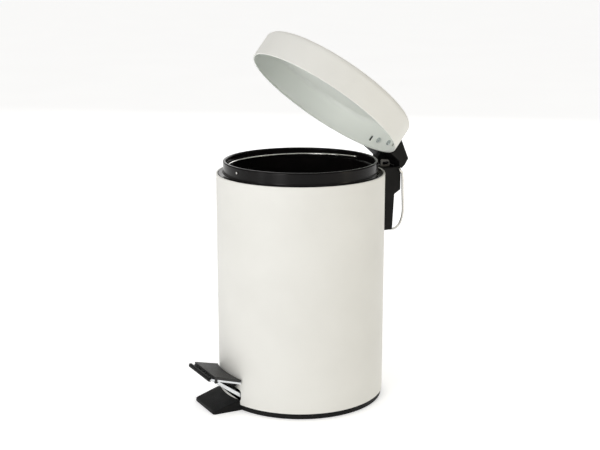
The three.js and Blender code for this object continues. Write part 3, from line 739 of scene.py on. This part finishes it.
def rivet_piece(x):
    """A domed rivet through the lid's wall, its head inside the lid."""
    y = math.sqrt(LID_RADIUS ** 2 - x ** 2) - WALL
    profile = [(0, 0), (1.6, 0), (1.6, 5.8), (3.0, 5.8), (3.1, 6.1), (2.9, 6.4), (2.4, 6.65),
               (1.7, 6.85), (0.8, 6.95), (0, 6.98)]
    bm = turned(profile, 40)
    bmesh.ops.rotate(bm, verts=bm.verts, cent=(0, 0, 0), matrix=Matrix.Rotation(math.pi / 2, 3, "X"))
    bmesh.ops.translate(bm, verts=bm.verts, vec=(x, y + 5.2, LID_RIM + RIVET_UP))
    return swing(bm, -lid_angle)


finish_piece("lid_rivet_1", rivet_piece(-RIVET_OFFSET), "lid", "zinc", rivet_steel, "lid_rivet_left")
finish_piece("lid_rivet_2", rivet_piece(RIVET_OFFSET), "lid", "zinc", rivet_steel, "lid_rivet_right")


# ---------------------------------------------------------------------------------------------
# Pedal

BACK_HALF, FRONT_HALF = 28.0, 24.6


def tread_plan(inset, front, corner):
    """The tread seen from above, hollowed at the rear to follow the shell."""
    def half(out):
        share = (out - TREAD_BACK) / (TREAD_FRONT - TREAD_BACK)
        return BACK_HALF - inset + (FRONT_HALF - BACK_HALF) * share
    rear = RADIUS - 9
    plan = pushed([
        (-half(front), -front), (half(front), -front), (half(rear), -rear), (-half(rear), -rear),
    ], "z", 0, 80)
    soften(plan, corner, 4, keep=is_front_corner)
    return cut(plan, post(RADIUS + 1.6, -1, 81))


def tread_layer(above, thick, plan):
    def at(out):
        return (-out, tread_top(out) - (above + thick / 2) / math.cos(TREAD_SLOPE))
    layer = strip(at(TREAD_FRONT + 20), at(TREAD_BACK - 20), thick, -60, 60)
    return merged(layer, "INTERSECT", plan)


def pad_piece():
    """The pad, with a small hook at each side that grips the plate's edge."""
    pad = tread_layer(0, PAD_THICK, tread_plan(0, TREAD_FRONT - 3.9, 1.6))
    soften(pad, 0.5, 3, sharper_than=40)
    out = TREAD_FRONT - 5.6
    top = tread_top(out) - PAD_THICK
    hooks = [
        soften(block(*sorted((s * 24.55, s * 25.2)), -out - 1.4, -out + 1.4,
                     top - 4.2, top + 0.8), 0.2, 2)
        for s in (-1, 1)
    ]
    return joined(pad, *hooks)


finish_piece("tread_pad", pad_piece(), "pedal", "black_plastic", tread_black, "pedal_pad", even=True)


def lever_piece():
    tread = tread_layer(PAD_THICK + GAP, PLATE_THICK, tread_plan(0.6, TREAD_FRONT, 1.0))
    edge = rod(PLATE_THICK / 2, -FRONT_HALF + 2, FRONT_HALF - 2, *fold_at)
    half, thick, flange = 24.0, 1.6, 1.6
    arm = strip(bend_at, fold_at, thick, -half, half)
    stop = tuple(Vector(bend_at).lerp(Vector(fold_at), 0.8))
    rails = [
        strip(bend_at, stop, flange + thick, *sorted((s * half, s * (half - thick))), -flange / 2)
        for s in (-1, 1)
    ]
    corner = rod(thick / 2, -half, half, *bend_at, 24)
    yoke = strip(bend_at, (pivot.y - 8, bend_at[1]), thick, -half + 1, half - 1)
    tail_start = (bend_at[0] + 2, bend_at[1])
    tail_tip = (lever_high.y - 0.1, pivot.z - 2.5)
    tail = strip(tail_start, tail_tip, thick, -11, 11)
    tail_rails = [
        strip(tail_start, tail_tip, thick + 3.6, *sorted((s * 11, s * (11 - thick))), 1.8)
        for s in (-1, 1)
    ]
    bosses = []
    for s in (-1, 1):
        x0, x1 = sorted((s * 11, s * (11 - thick)))
        bosses += [block(x0, x1, pivot.y - 4.2, pivot.y + 4.2, pivot.z - 7.4, pivot.z),
                   rod(4.2, x0, x1, pivot.y, pivot.z)]
    whole = joined(tread, edge, arm, *rails, corner, yoke, tail, *tail_rails, *bosses)
    return cut(whole, rod(2.3, -20, 20, pivot.y, pivot.z), post(3.1, 0, 60, 0, RADIUS - 5.3, 32))


finish_piece("lever", lever_piece(), "pedal", "zinc", zinc, "pedal_lever")


def filler_piece():
    """The moulded wedge under the tread."""
    def under(out):
        return tread_centre(out) - (PLATE_THICK / 2 + GAP) / math.cos(TREAD_SLOPE)
    slope = (fold_at[1] - bend_at[1]) / (bend_at[0] - fold_at[0])
    lift = 3.5 / math.cos(math.atan(slope))

    def over_arm(out):
        return bend_at[1] + (out + bend_at[0]) * slope + lift
    rear, tip, middle, front = RADIUS - 0.9, RADIUS + 4.5, RADIUS + 12, RADIUS + 16
    body = pushed([
        (-rear, under(rear)), (-front, under(front)), (-front, over_arm(front)),
        (-middle, over_arm(middle)), (-tip, under(tip) - 3.8), (-rear - 1.9, under(rear + 1.9) - 2.6),
    ], "x", -FRONT_HALF + 1, FRONT_HALF - 1)
    soften(body, 0.5, 3)
    return cut(body, post(RADIUS + 2, 0, 80))


finish_piece("tread_filler", filler_piece(), "pedal", "black_plastic", black, "pedal_filler", even=True)


def lip_piece():
    """The rubber-like lip clipped round the front fold."""
    slope = math.tan(TREAD_SLOPE)
    y, z = fold_at
    half = FRONT_HALF + 0.4
    body = strip((y - 2.6, z + 2.6 * slope), (y + 1.0, z - 1.0 * slope), 3.9, -half, half)
    soften(body, 1.2, 4)
    plate = strip((y - 0.4, z), (y + 20, z - 20 * slope), PLATE_THICK + 2 * GAP, -60, 60)
    arm = strip(bend_at, fold_at, 1.6 + 2 * GAP, -60, 60)
    return cut(body, plate, rod(PLATE_THICK / 2 + GAP, -60, 60, y, z), arm)


finish_piece("tread_lip", lip_piece(), "pedal", "black_plastic", black, "pedal_lip")


# ---------------------------------------------------------------------------------------------
# The push rod's cross head, with a windowed ear at its right end

def head_piece():
    y, z = hinge.y - 12.5, head_low.z + 1.8
    front, back, top = y - 4.6, y + 6.8, z + 8.2
    plate = pushed([
        (front, z - 1.6), (back, z - 1.6), (back, z + 3.2), (back - 1.3, top - 1.3),
        (back - 2.6, top - 0.9), (front + 1.3, top), (front, top - 1.3),
    ], "x", 16.3, 17.2)
    window = block(15, 18.5, front + 2.55, back - 1.7, z + 2.2, top - 3)
    soften(window, 0.8, 3, keep=lambda e: abs((e.verts[0].co - e.verts[1].co).x) > 1)
    ear = soften(cut(plate, window), 0.25, 2, sharper_than=50)
    return joined(rod(1.8, -17.2, 17.2, y, z), ear)


finish_piece("cross_head", head_piece(), "rod", "black_plastic", ear_black, "rod_head", even=True)


# ---------------------------------------------------------------------------------------------
# Parts that stay as made

for node, finish in {
    "base_pad_1": rubber, "base_pad_2": rubber, "base_pad_3": rubber,
    "bracket_rivet_1": zinc, "bracket_rivet_2": zinc,
    "bracket_rivet_3": zinc, "bracket_rivet_4": zinc,
    "lever_pin": zinc, "lever_pin_clip": zinc, "push_rod": zinc,
    "rod_foot": black, "rod_guide": black,
}.items():
    part = frame["nodes"][node]
    for place in part.material_slots:
        place.material = finish


# ---------------------------------------------------------------------------------------------
# Studio

def floor_sheet():
    bm = bmesh.new()
    bmesh.ops.create_grid(bm, x_segments=1, y_segments=1, size=40)
    mesh = bpy.data.meshes.new("floor")
    bm.to_mesh(mesh)
    bm.free()
    sheet = bpy.data.objects.new("floor", mesh)
    scene.collection.objects.link(sheet)
    paper = Finish("floor_paper").set(Specular_IOR_Level=0.1, Roughness=0.9, Emission_Strength=0.34)
    paper.set(Emission_Color=(1.0, 1.0, 1.0, 1))
    paper.shades(paper.noise(3, 2), (0.93, 0.93, 0.93), (0.95, 0.95, 0.95))
    mesh.materials.append(paper.material)


floor_sheet()


def softbox(name, place, target, colour, width, height, power):
    lamp = bpy.data.lights.new(name, "AREA")
    lamp.color = colour
    lamp.shape = "RECTANGLE"
    lamp.size, lamp.size_y = width, height
    lamp.energy = power
    thing = bpy.data.objects.new(name, lamp)
    thing.location = place
    thing.rotation_euler = (Vector(target) - Vector(place)).to_track_quat("-Z", "Y").to_euler()
    scene.collection.objects.link(thing)


AZIMUTH, ELEVATION, DISTANCE = math.radians(61.56), math.radians(13.03), 1.1609
AIM = Vector((0, 0, 0.1767))


def from_camera(right, up, towards):
    """A point measured from the bin's middle, in the camera's own directions."""
    ahead = Vector((-math.sin(AZIMUTH), math.cos(AZIMUTH), 0))
    side = Vector((math.cos(AZIMUTH), math.sin(AZIMUTH), 0))
    return AIM + side * right + Vector((0, 0, up)) - ahead * towards


softbox("key", from_camera(-0.85, 0.3, 1.5), AIM, (1.0, 0.99, 0.99), 0.5, 1.3, 9.5)
softbox("streak", from_camera(-1.45, 0.25, 0.95), AIM, (1.0, 1.0, 1.0), 0.14, 1.3, 3.6)
softbox("fill", from_camera(1.6, 0.35, 0.65), AIM, (1.0, 0.90, 0.66), 0.3, 1.3, 4)
softbox("back", from_camera(0.3, 0.7, -1.9), AIM, (1.0, 1.0, 1.0), 2.4, 0.6, 8)

overhead = bpy.data.lights.new("overhead", "SUN")
overhead.energy = 1.2
overhead.angle = math.radians(80)
overhead_thing = bpy.data.objects.new("overhead", overhead)
scene.collection.objects.link(overhead_thing)

world = bpy.data.worlds.new("studio")
world.use_nodes = True
world.node_tree.nodes["Background"].inputs["Color"].default_value = (1.0, 0.985, 0.95, 1)
world.node_tree.nodes["Background"].inputs["Strength"].default_value = 0.28
scene.world = world
scene.view_settings.view_transform = "Standard"

camera = bpy.data.cameras.new("camera")
camera.lens = 68.4
camera.sensor_width = 36
eye = bpy.data.objects.new("camera", camera)
look_at = from_camera(-0.0006, 0, 0)
eye.location = look_at + Vector((
    math.sin(AZIMUTH) * math.cos(ELEVATION),
    -math.cos(AZIMUTH) * math.cos(ELEVATION),
    math.sin(ELEVATION),
)) * DISTANCE
eye.rotation_euler = (look_at - eye.location).to_track_quat("-Z", "Y").to_euler()
scene.collection.objects.link(eye)
scene.camera = eye
